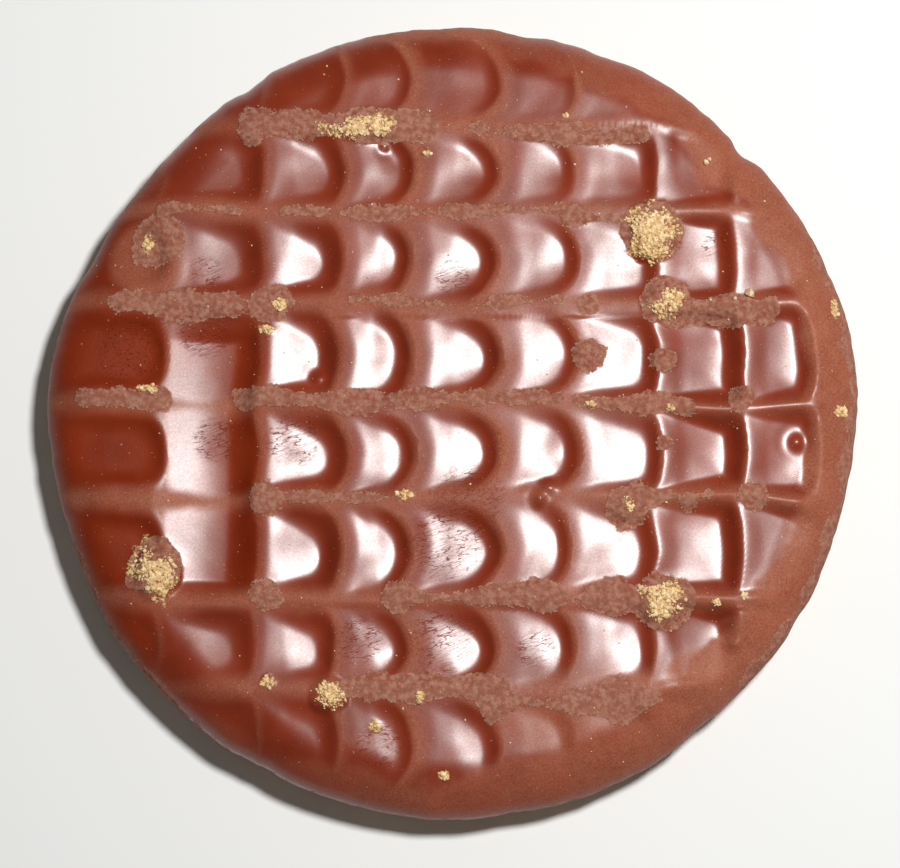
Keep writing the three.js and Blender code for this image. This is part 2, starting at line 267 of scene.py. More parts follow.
def crestAt(index, row, y, back):
    wobble = pattern["crestWobble"]
    shift = wobble["shift"] * (draw(index, row, 11) - 0.5)
    bulge = crestBulge[index] * (1 + wobble["bulge"] * (draw(index, row, 12) - 0.5))
    return crestX[index] + shift - bulge * back + wobble["height"] * wander(y / wobble["length"], index, 21)


def pick(lines, index):
    return np.take_along_axis(lines, index[None], 0)[0]


def cellAt(x, y):                    # the scoop that a point lies in
    ridges = np.stack([ridgeAt(index, x) for index in range(len(pattern["ridges"]))])
    row = np.clip((y <= ridges).sum(0) - 1, 0, len(pattern["rowDepths"]) - 1)
    top, low = pick(ridges, row), pick(ridges, row + 1)
    share = np.clip((top - y) / (top - low), 0, 1)
    back, fast = arch(share)
    crests = np.stack([crestAt(index, row, y, back) for index in range(len(crestX))])
    column = np.clip((x >= crests).sum(0) - 1, 0, len(crestX) - 2)
    left, right = pick(crests, column), pick(crests, column + 1)
    # a distance along X becomes one square to the crest, which slants where it bulges
    squareLeft = 1 / np.hypot(1, crestBulge[column] * fast / (top - low))
    squareRight = 1 / np.hypot(1, crestBulge[column + 1] * fast / (top - low))
    return SimpleNamespace(
        row=row, column=column, share=share, width=right - left, under=top - y, over=y - low,
        past=(x - left) * squareLeft, before=(right - x) * squareRight)


def inTroughRows(y):
    low, high, fade = (pattern["trough"][name] for name in ("low", "high", "fade"))
    return ease(y, low, low + fade) * ease(-y, -high, fade - high)


def troughDepth(x, y):
    trough = pattern["trough"]
    sway = wander(y / pattern["ridgeWobble"]["length"], 0, 23)
    along = np.maximum(x - trough["left"] - sway, 0)
    floor = slope(trough["floor"]) * along - trough["flatten"] * along ** 3
    wall = slope(trough["wall"]) * (trough["right"] + sway - x)
    return inTroughRows(y) * softMin(floor, wall, trough["blend"])


def floorDepth(cell):                # the depth of a scoop's floor, without its walls
    turn = pattern["turn"]
    uneven = 1 + pattern["uneven"] * (draw(cell.column, cell.row, 13) - 0.5)
    start, end = slope(startAngle[cell.column] * uneven), slope(endAngle[cell.column] * uneven)
    bend = floorBend[cell.column]

    def fall(along):                 # the floor's depth that far from the foot of its crest
        return end * along + (start - end) * bend * (1 - np.exp(-along / bend))

    along = softMax(cell.past - crestTop[cell.column], 0, pattern["blend"]["start"])
    flat = turn["share"] * ease(cell.share, turn["from"], 1)
    turned = mix(fall(along), fall(turn["middle"] * cell.width), flat)
    floor = softMin(slope(turn["wall"]) * along, turned, turn["blend"])
    tilt = slope(rowTilts)[cell.row] * (cell.over - cell.under) / 2
    return floor + tilt * ease(floor, 0, pattern["curl"]["start"])


def patternDepth(x, y):              # how far the coat lies under the plane of its crests
    cell = cellAt(x, y)
    pressed, steep, blend, curl = (pattern[name] for name in ("pressed", "steep", "blend", "curl"))
    walls, ridgeHalf = pattern["walls"], pattern["ridgeHalf"]
    isPressed, isSteep = crestX[cell.column] < pressed["x"], crestX[cell.column] > steep["x"]
    floor = np.where(isPressed, pressed["depth"], floorDepth(cell))
    half = np.where(isPressed, pressed["half"], 0)
    topAngle = np.where(isPressed, pressed["wall"], np.where(isSteep, steep["wall"], walls["top"]))
    bottomAngle = np.where(isSteep, steep["wall"], walls["bottom"])
    rightWall = slope(wallAngle[cell.column + 1]) * cell.before
    topWall = slope(topAngle) * cell.under - ridgeHalf["top"] - half
    bottomWall = slope(bottomAngle) * cell.over - ridgeHalf["bottom"] - half
    corner = np.where(isPressed, pressed["corner"], np.where(isSteep, steep["corner"], blend["corner"]))
    wall = softMin(softMin(rightWall, bottomWall, corner), topWall, np.maximum(corner, blend["top"]))
    nearWall = np.exp(-np.maximum(wall - floor, 0) / curl["reach"])
    lift = floorCurl[cell.column] * nearWall * ease(floor, 0, curl["start"])
    scoop = softMin(floor - lift, wall, blend["floor"])
    depth = softMax(softMax(scoop, troughDepth(x, y), blend["crest"]), 0, blend["crest"])
    return rowDepths[cell.row] * depth


# the top is nearer the eye than the rim that it was measured against

sight = {"scaleX": 0.97, "scaleY": 0.98, "shiftX": 0.12, "shiftY": -1.29}


def asMeasured(x, y):
    return (x - sight["shiftX"]) / sight["scaleX"], (y - sight["shiftY"]) / sight["scaleY"]


def asPlaced(x, y):
    return x * sight["scaleX"] + sight["shiftX"], y * sight["scaleY"] + sight["shiftY"]


# the marks on the coat, by their places in millimetres from its middle

marks = {
    "clumps": [                      # crumbs in the coat: X, Y, half width, half depth, rise, share of gold
        (-8.2, 26.2, 3.4, 1.3, 0.4, 1.0), (17.2, 17.0, 2.3, 2.8, 0.5, 1.0),
        (18.2, 10.7, 2.0, 1.6, 0.45, 0.7), (-25.9, -12.9, 2.2, 2.7, 0.5, 0.75),
        (-10.8, -23.5, 1.9, 1.9, 0.5, 0.6), (17.7, -15.4, 2.2, 2.2, 0.35, 0.8),
        (14.7, -7.3, 1.3, 1.3, 0.35, 0.5),
    ],
    # under its crumbs the coat keeps a share of a clump's rise, in full from a little inside the edge
    "clumpEdge": {"ragged": (0.3, 1.6, 76), "full": 0.8, "settle": 0.6},
    "specks": [                      # smaller ones: X, Y, half width, half depth
        (-15.5, 10.5, 0.7, 0.6), (-16.6, 8.2, 0.9, 0.6), (-6.6, -26.0, 0.9, 0.8), (-15.9, -22.4, 0.9, 0.6),
        (-4.6, -6.2, 1.1, 0.5), (11.8, 1.7, 0.9, 0.35), (18.7, 1.4, 0.6, 0.5), (-27.1, 3.0, 1.4, 0.5),
        (9.5, 27.3, 0.5, 0.4), (-0.9, -30.2, 0.5, 0.4), (-3.0, -23.6, 0.5, 0.5), (24.9, -14.9, 0.4, 0.4),
        (22.5, -15.4, 0.35, 0.35), (-2.6, 24.0, 0.5, 0.3), (33.3, 10.5, 0.5, 1.5), (33.6, 1.3, 0.8, 0.7),
        (-27.2, 15.8, 0.7, 1.2),
    ],
    # where crumb shows: a clump reaches less far the less gold it is, and a speck less than its oval
    "crumbEdge": {"ragged": (0.75, 1.7, 71), "clump": 0.6, "plain": 0.7, "speck": 0.3},
    "bands": [                       # scuffed ridges: which, from X, to X, half width, shift in Y
        (1, -17.5, -3.0, 1.5, -0.3), (1, 2.2, 9.8, 1.0, -0.4), (1, 10.3, 16.5, 0.5, -1.0),
        (2, -26.0, -19.0, 0.6, 0.0), (2, -15.0, 9.0, 0.65, 0.1), (2, 10.0, 15.0, 1.0, -0.6),
        (3, -29.0, -20.5, 1.3, -0.2), (3, -9.0, 9.0, 0.45, 0.2), (3, 20.0, 27.0, 1.4, -0.6),
        (4, -32.0, -25.5, 0.7, 0.3), (4, -18.5, 9.0, 0.8, 0.3), (4, 10.8, 20.0, 1.0, 0.1),
        (5, -15.0, -5.0, 0.4, 0.2), (5, 16.0, 22.0, 0.8, 0.0),
        (6, -5.0, 9.0, 0.6, 0.0), (6, 9.0, 19.0, 1.2, -0.2),
        (7, -9.0, 4.0, 1.2, 0.2), (7, 4.0, 17.0, 1.6, -0.8),
    ],
    "discs": [                       # scuffed spots: X, Y, radius
        (11.5, 6.0, 1.6), (25.9, -6.2, 1.4), (20.3, -6.6, 1.2), (-16.4, -6.6, 1.4), (11.5, 10.4, 1.3),
        (-16.2, 10.6, 1.9), (-16.4, -15.0, 1.4), (-4.7, -15.0, 1.5), (7.3, -15.1, 1.5), (24.6, 2.1, 1.4),
        (18.1, 5.6, 1.3), (18.1, -1.6, 1.0), (-26.3, 16.0, 2.4), (17.2, 17.2, 2.7), (18.4, 10.9, 2.3),
        (-25.9, -12.4, 2.5), (17.7, -15.4, 2.6), (14.7, -7.3, 1.8),
    ],
    # a scuffed ridge is wider and narrower along its way, and every scuff has a ragged edge
    "scuffEdge": {"ragged": (0.5, 2.3, 61), "vary": 1.1, "length": 2.8},
    "worn": [                        # dull ovals: X, Y, half width, half depth
        (12.5, -25.5, 9.5, 4.5), (22.0, -22.0, 4.0, 3.0), (-27.0, 14.5, 3.6, 3.6),
    ],
    "pimples": [                     # X, Y, radius, height
        (7.3, -6.5, 0.5, 0.35), (8.1, -5.5, 0.55, 0.3), (-12.0, 4.0, 0.6, 0.32), (29.7, -1.4, 0.7, 0.3),
        (24.0, -18.9, 0.5, 0.3), (-6.4, 24.6, 0.4, 0.2),
    ],
    "pimpleShape": {"steep": 1.6, "moat": 0.08, "moatAt": 1.9, "moatWidth": 0.7},    # in its own radii
    "scratched": [                   # places scratched by rubbing: X, Y, radius
        (-14.2, -1.4, 2.8), (-0.9, -10.2, 4.0), (1.3, -6.5, 3.5), (-22.0, 13.3, 1.8), (-8.2, -18.9, 2.4),
        (-1.3, -18.9, 3.4), (-6.5, -27.7, 2.4), (30.2, -4.9, 1.4), (-22.0, 8.2, 2.8), (-0.4, 13.0, 1.8),
        (-28.5, 6.5, 3.5), (-21.0, -1.4, 2.2), (7.0, -19.5, 2.0), (23.0, 16.0, 1.6),
    ],
    "scratchFade": 0.6,
}


def insideOval(x, y, atX, atY, width, depth):
    return 1 - ((x - atX) / width) ** 2 - ((y - atY) / depth) ** 2


def clumpRise(x, y):
    edge = marks["clumpEdge"]
    rough = crags(x, y, edge["ragged"])
    return edge["settle"] * sum(
        rise * ease(insideOval(x, y, atX, atY, width, depth) + rough, 0, edge["full"])
        for atX, atY, width, depth, rise, _ in marks["clumps"])


def crumbField(x, y):                # above 0 where biscuit crumb shows in the coat
    edge = marks["crumbEdge"]
    field = np.full_like(x, -2.0)    # far from any crumb
    for atX, atY, width, depth, _, gold in marks["clumps"]:
        inside = edge["clump"] * insideOval(x, y, atX, atY, width, depth)
        field = np.maximum(field, inside - edge["plain"] * (1 - gold))
    for atX, atY, width, depth in marks["specks"]:
        field = np.maximum(field, insideOval(x, y, atX, atY, width, depth) - edge["speck"])
    return field + crags(x, y, edge["ragged"])


def wearField(x, y):                 # the dull brown along every ridge and on the level tops of the crests
    cell, wear = cellAt(x, y), coat["wear"]
    fromRidge = np.minimum(cell.under, cell.over) - wear["ridgeHalf"]
    fromLeft = cell.past - wear["topShare"] * crestTop[cell.column]
    fromRight = wear["wallFade"] * cell.before - wear["topShare"] * crestTop[cell.column + 1]
    away = softMin(fromRidge, np.minimum(fromLeft, fromRight), wear["join"])
    for atX, atY, width, depth in marks["worn"]:
        away = np.minimum(away, -wear["ovalEdge"] * insideOval(x, y, atX, atY, width, depth))
    level, height, size = wear["patches"]
    strength = level + height * lumps(x, y, size, 65)
    return ease(crags(x, y, wear["ragged"]) - away, *wear["edge"]) * strength


def scuffField(x, y):                # millimetres inside the edge of the nearest scuffed patch
    edge = marks["scuffEdge"]
    field = np.full_like(x, -5.0)    # far from any patch
    for ridge, start, end, half, shift in marks["bands"]:
        beyond = np.maximum(np.maximum(start - x, x - end), 0)
        wide = half * (1 + edge["vary"] * lumps(x, 0 * y, edge["length"], 67 + ridge))
        field = np.maximum(field, wide - np.hypot(beyond, y - ridgeAt(ridge, x) - shift))
    for atX, atY, radius in marks["discs"]:
        field = np.maximum(field, radius - np.hypot(x - atX, y - atY))
    return field + crags(x, y, edge["ragged"])


def scratchField(x, y):
    field = sum(
        ease(insideOval(x, y, atX, atY, radius, radius), 0, marks["scratchFade"])
        for atX, atY, radius in marks["scratched"])
    return np.clip(field, 0, 1)


def pimpleRise(x, y):                # small domes, each in a shallow moat
    shape = marks["pimpleShape"]
    rise = np.zeros_like(x)
    for atX, atY, radius, height in marks["pimples"]:
        away = np.hypot(x - atX, y - atY) / radius
        dome = np.exp(-away * away * shape["steep"])
        moat = np.exp(-((away - shape["moatAt"]) / shape["moatWidth"]) ** 2)
        rise += height * dome - shape["moat"] * height * moat
    return rise


# the chocolate coat

coat = {
    "cells": 270,                    # faces across the top
    "gridInset": 0.75,               # the top's grid ends this far inside the outline
    "crestHeight": 7.2,              # above the biscuit's underside
    "shoulder": {"width": 4.8, "height": 3.1},
    "rimLevel": 0.35,                # the smooth rim lies this far under the crests
    "fade": {"start": 0.8, "width": 3.6},                # where the rim gives way to the pattern
    "sideRings": 9,                  # from the top's grid down to the lip
    "lipHeight": 3.0,                # how far above the underside the coat ends
    "lipWaves": [(3, 0.25, 60), (5, 0.12, 200), (8, 0.16, 120), (13, 0.1, 30)],      # as the outline's
    "lipRound": 0.25,
    "innerInset": 0.45,              # the side of the coat's hollow lies this far inside the outline
    "hollow": {"foot": 3.5, "level": 3.6, "width": 3.65, "rise": 2.0},       # it fits the baked shoulder
    "clumpCover": 3,                 # how fast a clump's rise hides the pattern under it
    "swell": [(0.05, 3.8, 31), (0.015, 1.6, 32)],        # broad unevenness: height, size, seed
    "reliefFade": 1.5,               # the fine relief has its full height this far inside the outline
    "scuffRelief": {"edge": (-0.1, 0.6), "step": 0.022, "ragged": (0.016, 0.9, 64)},
    "crumbRelief": {"edge": (0, 0.5), "step": 0.05, "ragged": (0.11, 0.8, 74)},
    # the painted sheen along the rim, a paler tone widest towards the light: how wide and how pale it is away
    # from its turn and towards it
    "wearAndPaintedSheen": {
        "turn": -10, "width": (1.2, 4.2), "widthFacing": (-0.6, 0.4), "ragged": (0.4, 3.1, 45),
        "edge": (-0.6, 1.0), "share": (0.15, 0.5), "shareFacing": (-0.4, 0.95),
    },
    # the dull brown of wear, its paler tone partly painted sheen: half the width of a ridge's, share of a
    # crest's level top, how steeply it ends
    "wear": {
        "ridgeHalf": 0.9, "topShare": 0.7, "wallFade": 4, "ovalEdge": 2.5, "join": 0.8,
        "ragged": (0.5, 4.0, 63), "edge": (-0.7, 1.0), "patches": (0.8, 0.5, 5.0), "wearAndPaintedSheen": 0.46,
    },
    # the flaky stretches of rim: angle, half angle, width
    "crust": {
        "stretches": [(-8, 42, 0.9), (215, 22, 0.35), (170, 8, 0.6)], "fade": 12, "ragged": (0.9, 1.9, 46),
    },
    # where the gloss is lost; the trough's haze is given for its low end, its high end and its right
    "shine": {
        "wearAndPaintedSheen": (0.08, 0.5), "pressed": 0.8, "pressedEdge": (0, 1.2), "haze": (0.05, 0.7, 0.9),
        "hazeRows": (-14, 8), "hazeRight": (0.35, 0.95), "hazeStart": (-0.1, 0.1), "hazeEnd": (1.2, 1.05),
    },
}


def coatHeight(x, y, edge):
    width, height = coat["shoulder"]["width"], coat["shoulder"]["height"]
    inner = 1 - np.clip(edge / width, 0, 1)
    level = coat["crestHeight"] - height * (1 - np.sqrt(1 - inner * inner))
    fade = ease(edge, coat["fade"]["start"], coat["fade"]["start"] + coat["fade"]["width"])
    seenX, seenY = asMeasured(x, y)
    clump = clumpRise(seenX, seenY)
    depth = mix(patternDepth(seenX, seenY), 0, np.minimum(coat["clumpCover"] * clump, 1))
    return level - mix(coat["rimLevel"], depth, fade) + clump


def fineRelief(x, y, edge):
    x, y = asMeasured(x, y)
    swell = sum(height * lumps(x, y, size, seed) for height, size, seed in coat["swell"])

    def patches(field, relief):      # they stand a little higher and are rough
        return ease(field, *relief["edge"]) * (relief["step"] + crags(x, y, relief["ragged"]))

    worn = patches(scuffField(x, y), coat["scuffRelief"])
    crumb = patches(crumbField(x, y), coat["crumbRelief"])
    return (swell + worn + pimpleRise(x, y) + crumb) * ease(edge, 0, coat["reliefFade"])


def paintedRimSheen(x, y, edge):          # painted sheen: a paler, duller band along the rim, widest and palest on the right, towards the light
    wearAndPaintedSheen = coat["wearAndPaintedSheen"]
    facing = np.cos(np.arctan2(y, x) - math.radians(wearAndPaintedSheen["turn"]))
    width = mix(*wearAndPaintedSheen["width"], ease(facing, *wearAndPaintedSheen["widthFacing"])) * (1 + crags(x, y, wearAndPaintedSheen["ragged"]))
    return ease(width - edge, *wearAndPaintedSheen["edge"]) * mix(*wearAndPaintedSheen["share"], ease(facing, *wearAndPaintedSheen["shareFacing"]))


def crustField(x, y, edge):          # millimetres inside the edge of the flaky stretches along the rim
    crust = coat["crust"]
    field = np.full_like(x, -5.0)    # far from any stretch
    for turn, half, width in crust["stretches"]:
        away = (np.degrees(np.arctan2(y, x)) - turn + 180) % 360 - 180
        reach = width * ease(half - abs(away), 0, crust["fade"]) * (1 + crags(x, y, crust["ragged"]))
        field = np.maximum(field, reach - edge)
    return field


def shineField(x, y, wearAndPaintedSheen):         # share of the full gloss
    cell, shine, trough = cellAt(x, y), coat["shine"], pattern["trough"]
    inPress = (crestX[cell.column] < pattern["pressed"]["x"]) * ease(cell.before, *shine["pressedEdge"])
    along = (x - trough["left"]) / (trough["right"] - trough["left"])
    low, high, right = shine["haze"]
    haze = mix(mix(low, high, ease(y, *shine["hazeRows"])), right, ease(along, *shine["hazeRight"]))
    inTrough = inTroughRows(y) * ease(along, *shine["hazeStart"]) * ease(along, *shine["hazeEnd"]) * haze
    return (1 - ease(wearAndPaintedSheen, *shine["wearAndPaintedSheen"])) * (1 - shine["pressed"] * inPress) * (1 - inTrough)


def sideProfile(angle):              # rings from the shoulder down the side and up into the hollow
    lipAt = coat["lipHeight"] + waves(angle, coat["lipWaves"])
    width, height = coat["shoulder"]["width"], coat["shoulder"]["height"]
    startTurn = math.acos(1 - coat["gridInset"] / width)
    rings = []
    for ring in range(coat["sideRings"]):
        turn = startTurn * (1 - (ring + 1) / coat["sideRings"])
        level = coat["crestHeight"] - coat["rimLevel"] - height * (1 - math.sin(turn))
        rings.append((width * (1 - math.cos(turn)), level))
    lip, inner, hollow = coat["lipRound"], coat["innerInset"], coat["hollow"]
    quarter = np.radians([0, 30, 60, 90])
    for turn in quarter:
        rings.append((lip * (1 - math.cos(turn)), lipAt + lip * (1 - math.sin(turn))))
    rings.append((inner, np.minimum(lipAt + lip, hollow["foot"])))
    for turn in quarter:
        inset = inner + hollow["width"] * (1 - math.cos(turn))
        rings.append((inset, hollow["level"] + hollow["rise"] * math.sin(turn)))
    return [np.broadcast_arrays(inset, level, angle)[:2] for inset, level in rings]


def makeCoat():
    ringCount = len(sideProfile(np.zeros(1)))
    piece, angle, share, ring = discWithRings("chocolateCoat", coat["cells"], ringCount)
    reach = raggedRadius(angle)
    radius = share * (reach - coat["gridInset"])
    x, y = radius * np.cos(angle), radius * np.sin(angle)
    edge = reach - radius
    z = coatHeight(x, y, edge) + fineRelief(x, y, edge)
    for number, (inset, height) in enumerate(sideProfile(angle), 1):
        here = ring == number
        radius[here] = (reach - inset)[here]
        z[here] = height[here]
    centre = ring == ringCount + 1
    radius[centre] = 0
    z[centre] = coat["hollow"]["level"] + coat["hollow"]["rise"]
    x, y = radius * np.cos(angle), radius * np.sin(angle)
    writePoints(piece, x, y, z)
    # painted sheen: a paler tone along the rim towards the light, and over the dull worn ridges
    wearAndPaintedSheen, crust = paintedRimSheen(x, y, reach - radius), crustField(x, y, reach - radius)
    x, y = asMeasured(x, y)
    wearAndPaintedSheen = np.maximum(wearAndPaintedSheen, coat["wear"]["wearAndPaintedSheen"] * wearField(x, y))
    writeAttribute(piece, "wearAndPaintedSheen", wearAndPaintedSheen)
    writeAttribute(piece, "shine", shineField(x, y, wearAndPaintedSheen))
    writeAttribute(piece, "scuff", np.maximum(scuffField(x, y), crust))
    writeAttribute(piece, "crumb", crumbField(x, y))
    writeAttribute(piece, "scratch", scratchField(x, y))
    faceOutAndSmooth(piece)
    return piece


# the baked biscuit

baked = {
    "cells": 190,                    # faces across the underside
    "inset": 0.55,                   # the baked side lies this far inside the coated outline
    "height": 5.5,
    "foot": {"width": 2.5, "height": 2.2},
    "shoulder": {"width": 3.65, "height": 1.9},
    "dockerRings": [(8.2, 5, 12), (17.0, 10, 30), (25.4, 15, 6)],      # radius, count, turn
    "docker": {"mouth": 0.95, "tip": 0.5, "depth": 3.0, "stray": 0.35, "below": 0.5, "sides": 20},
    # the rough underside and its pits, and the rough side up to the coat's lip; both only cut in
    "under": {"level": 0.16, "crags": [(0.09, 2.3, 81), (0.09, 0.9, 84)], "fade": (2.0, 1.5)},
    "pits": {"size": 1.3, "edge": (0.42, 0.75), "depth": 0.45},
    "side": {"top": 3.4, "level": 0.12, "crags": (0.14, 1.6, 91), "flat": 1.3, "shift": 50},
}


def bakedProfile():                  # rings from the underside up the side and over the shoulder
    foot, shoulder, inset = baked["foot"], baked["shoulder"], baked["inset"]
    rings = []
    for turn in np.radians([80, 70, 60, 50, 40, 30, 20, 10, 0]):
        rings.append((inset + foot["width"] * (1 - math.cos(turn)), foot["height"] * (1 - math.sin(turn))))
    shoulderFoot = baked["height"] - shoulder["height"]
    for share in (0.25, 0.5, 0.75):
        rings.append((inset, mix(foot["height"], shoulderFoot, share)))
    for turn in np.radians([0, 22, 45, 68, 90]):
        rise = shoulder["height"] * math.sin(turn)
        rings.append((inset + shoulder["width"] * (1 - math.cos(turn)), shoulderFoot + rise))
    return rings


def dockerPlaces():
    stray = baked["docker"]["stray"]
    for line, (radius, count, turn) in enumerate(baked["dockerRings"]):
        for k in range(count):
            angle = 2 * math.pi * k / count + math.radians(turn)
            yield (radius * math.cos(angle) + stray * (2 * draw(k, line, 51) - 1),
                   radius * math.sin(angle) + stray * (2 * draw(k, line, 52) - 1))


def makeBaked():
    profile = bakedProfile()
    piece, angle, share, ring = discWithRings("bakedBiscuit", baked["cells"], len(profile))
    reach = outlineRadius(angle)
    radius = share * (reach - baked["inset"] - baked["foot"]["width"])
    z = np.zeros_like(radius)
    for number, (inset, height) in enumerate(profile, 1):
        here = ring == number
        radius[here] = (reach - inset)[here]
        z[here] = height
    centre = ring == len(profile) + 1
    radius[centre] = 0
    z[centre] = baked["height"]
    x, y = radius * np.cos(angle), radius * np.sin(angle)
    under, pits, side = baked["under"], baked["pits"], baked["side"]
    onFoot = (ring > 0) & (z < baked["foot"]["height"])
    onSide = (ring > 0) & (z < side["top"])
    relief = np.maximum(under["level"] + sum(crags(x, y, kind) for kind in under["crags"]), 0)
    pitted = pits["depth"] * ease(lumps(x, y, pits["size"], 87), *pits["edge"])
    z = z + np.where(ring == 0, relief + pitted, 0)
    start, width = under["fade"]
    sink = side["level"] + crags(angle * reach, z * side["flat"] + side["shift"], side["crags"])
    radius = radius - np.where(onSide, np.maximum(sink, 0), 0)
    z = z + np.where(onFoot, relief * ease(start - z, 0, width), 0)
    writePoints(piece, radius * np.cos(angle), radius * np.sin(angle), z)
    faceOutAndSmooth(piece)
    pierce(piece)
    return piece


def pierce(piece):                   # the holes pricked into the plain face before baking
    docker = baked["docker"]
    depth, below = docker["depth"], docker["below"]      # a cutter begins a little under the biscuit
    slant = (docker["mouth"] - docker["tip"]) / depth
    deselectAll()
    cutters = []
    for x, y in dockerPlaces():
        place = (x - middle[0], y - middle[1], (depth - below) / 2)
        bpy.ops.mesh.primitive_cone_add(
            vertices=docker["sides"], depth=(depth + below) * metre,
            radius1=(docker["mouth"] + slant * below) * metre, radius2=docker["tip"] * metre,
            location=[value * metre for value in place])
        cutters.append(bpy.context.object)
    for cutter in cutters:
        cutter.select_set(True)
    bpy.ops.object.join()
    cutter = bpy.context.object
    cut = piece.modifiers.new("docker holes", "BOOLEAN")
    cut.operation = "DIFFERENCE"
    cut.solver = "MANIFOLD"
    cut.object = cutter
    deselectAll()
    piece.select_set(True)
    bpy.context.view_layer.objects.active = piece
    bpy.ops.object.modifier_apply(modifier=cut.name)
    bpy.data.objects.remove(cutter)


# crumbs

crumbs = {
    "golden": {
        "size": (0.05, 0.22), "perClump": 400, "clumpArea": 4, "perSpeck": 26, "field": 0.0, "seed": 5,
        "clumpSpread": 0.4, "speckSpread": 0.5, "rimGap": 0.5, "lift": 0.1, "level": 2, "shapes": (1, 2, 3),
    },
    "pale": {
        "size": (0.04, 0.12), "count": 260, "seed": 8, "rimGap": 0.9, "lift": 0.3, "level": 1, "shapes": (4, 5),
        # single larger ones: X, Y, size
        "larger": [(25.7, 11.6, 0.42), (24.4, 11.1, 0.2), (22.0, 23.4, 0.3), (22.3, 23.7, 0.18)],
    },
    "uneven": 0.3,                   # how far a grain's corners are moved
    "stretch": (0.75, 1.25),         # least and most along each of its axes
    "fewLarge": 3,                   # the power that makes most grains small
}


def crumbShape(level, seed):         # one angular grain about 1 in radius, as points and faces
    deselectAll()
    bpy.ops.mesh.primitive_ico_sphere_add(subdivisions=level, radius=1)
    grain = bpy.context.object
    bpy.ops.object.mode_set(mode="EDIT")
    bpy.ops.mesh.select_all(action="SELECT")
    bpy.ops.transform.vertex_random(offset=crumbs["uneven"], seed=seed)
    bpy.ops.object.mode_set(mode="OBJECT")
    points = readPoints(grain)
    faces = np.array([list(face.vertices) for face in grain.data.polygons])
    bpy.data.objects.remove(grain)
    return points, faces


def scatter(name, shapes, x, y, z, size, rng):       # copies of the shapes, each turned its own way
    allPoints, allFaces, count = [], [], 0
    for k in range(len(x)):
        points, faces = shapes[k % len(shapes)]
        turn = rng.normal(size=4)
        a, b, c, d = turn / np.linalg.norm(turn)
        matrix = np.array([
            [1 - 2 * (c * c + d * d), 2 * (b * c - a * d), 2 * (b * d + a * c)],
            [2 * (b * c + a * d), 1 - 2 * (b * b + d * d), 2 * (c * d - a * b)],
            [2 * (b * d - a * c), 2 * (c * d + a * b), 1 - 2 * (b * b + c * c)],
        ])
        stretch = size[k] * rng.uniform(*crumbs["stretch"], 3)
        moved = (points * stretch) @ matrix.T + (x[k] - middle[0], y[k] - middle[1], z[k])
        allPoints.append(moved * metre)
        allFaces.append(faces + count)
        count += len(points)
    mesh = bpy.data.meshes.new(name)
    mesh.from_pydata(np.concatenate(allPoints).tolist(), [], np.concatenate(allFaces).tolist())
    piece = bpy.data.objects.new(name, mesh)
    bpy.context.scene.collection.objects.link(piece)
    return piece


def coatSurface(x, y):
    edge = raggedRadius(np.arctan2(y, x)) - np.hypot(x, y)
    return coatHeight(x, y, edge) + fineRelief(x, y, edge)


def grainSizes(settings, count, rng):
    return mix(*settings["size"], rng.random(count) ** crumbs["fewLarge"])


def makeGoldenCrumbs():
    settings = crumbs["golden"]
    rng = np.random.default_rng(settings["seed"])
    clumpSpread, speckSpread = settings["clumpSpread"], settings["speckSpread"]
    places = []
    for atX, atY, width, depth, _, gold in marks["clumps"]:
        count = int(settings["perClump"] * gold * width * depth / settings["clumpArea"])
        spread = rng.normal(size=(count, 2)) * (clumpSpread * width, clumpSpread * depth)
        places.append(spread + (atX, atY))
    for atX, atY, width, depth in marks["specks"]:
        spread = rng.normal(size=(settings["perSpeck"], 2)) * (speckSpread * width, speckSpread * depth)
        places.append(spread + (atX, atY))
    x, y = np.concatenate(places).T
    kept = crumbField(x, y) > settings["field"]
    x, y = asPlaced(x[kept], y[kept])
    kept = np.hypot(x, y) < outlineRadius(np.arctan2(y, x)) - settings["rimGap"]
    x, y = x[kept], y[kept]
    size = grainSizes(settings, len(x), rng)
    shapes = [crumbShape(settings["level"], seed) for seed in settings["shapes"]]
    return scatter("goldenCrumbs", shapes, x, y, coatSurface(x, y) + settings["lift"] * size, size, rng)


def makePaleCrumbs():
    settings = crumbs["pale"]
    rng = np.random.default_rng(settings["seed"])
    angle = rng.uniform(0, 2 * np.pi, settings["count"])
    share = np.sqrt(rng.random(settings["count"]))
    radius = share * (outlineRadius(angle) - settings["rimGap"])
    x, y = radius * np.cos(angle), radius * np.sin(angle)
    size = grainSizes(settings, len(x), rng)
    largeX, largeY, largeSize = np.array(settings["larger"]).T
    largeX, largeY = asPlaced(largeX, largeY)
    x, y, size = np.append(x, largeX), np.append(y, largeY), np.append(size, largeSize)
    shapes = [crumbShape(settings["level"], seed) for seed in settings["shapes"]]
    return scatter("paleCrumbs", shapes, x, y, coatSurface(x, y) + settings["lift"] * size, size, rng)


# materials: sums on a Wire add their own Math nodes

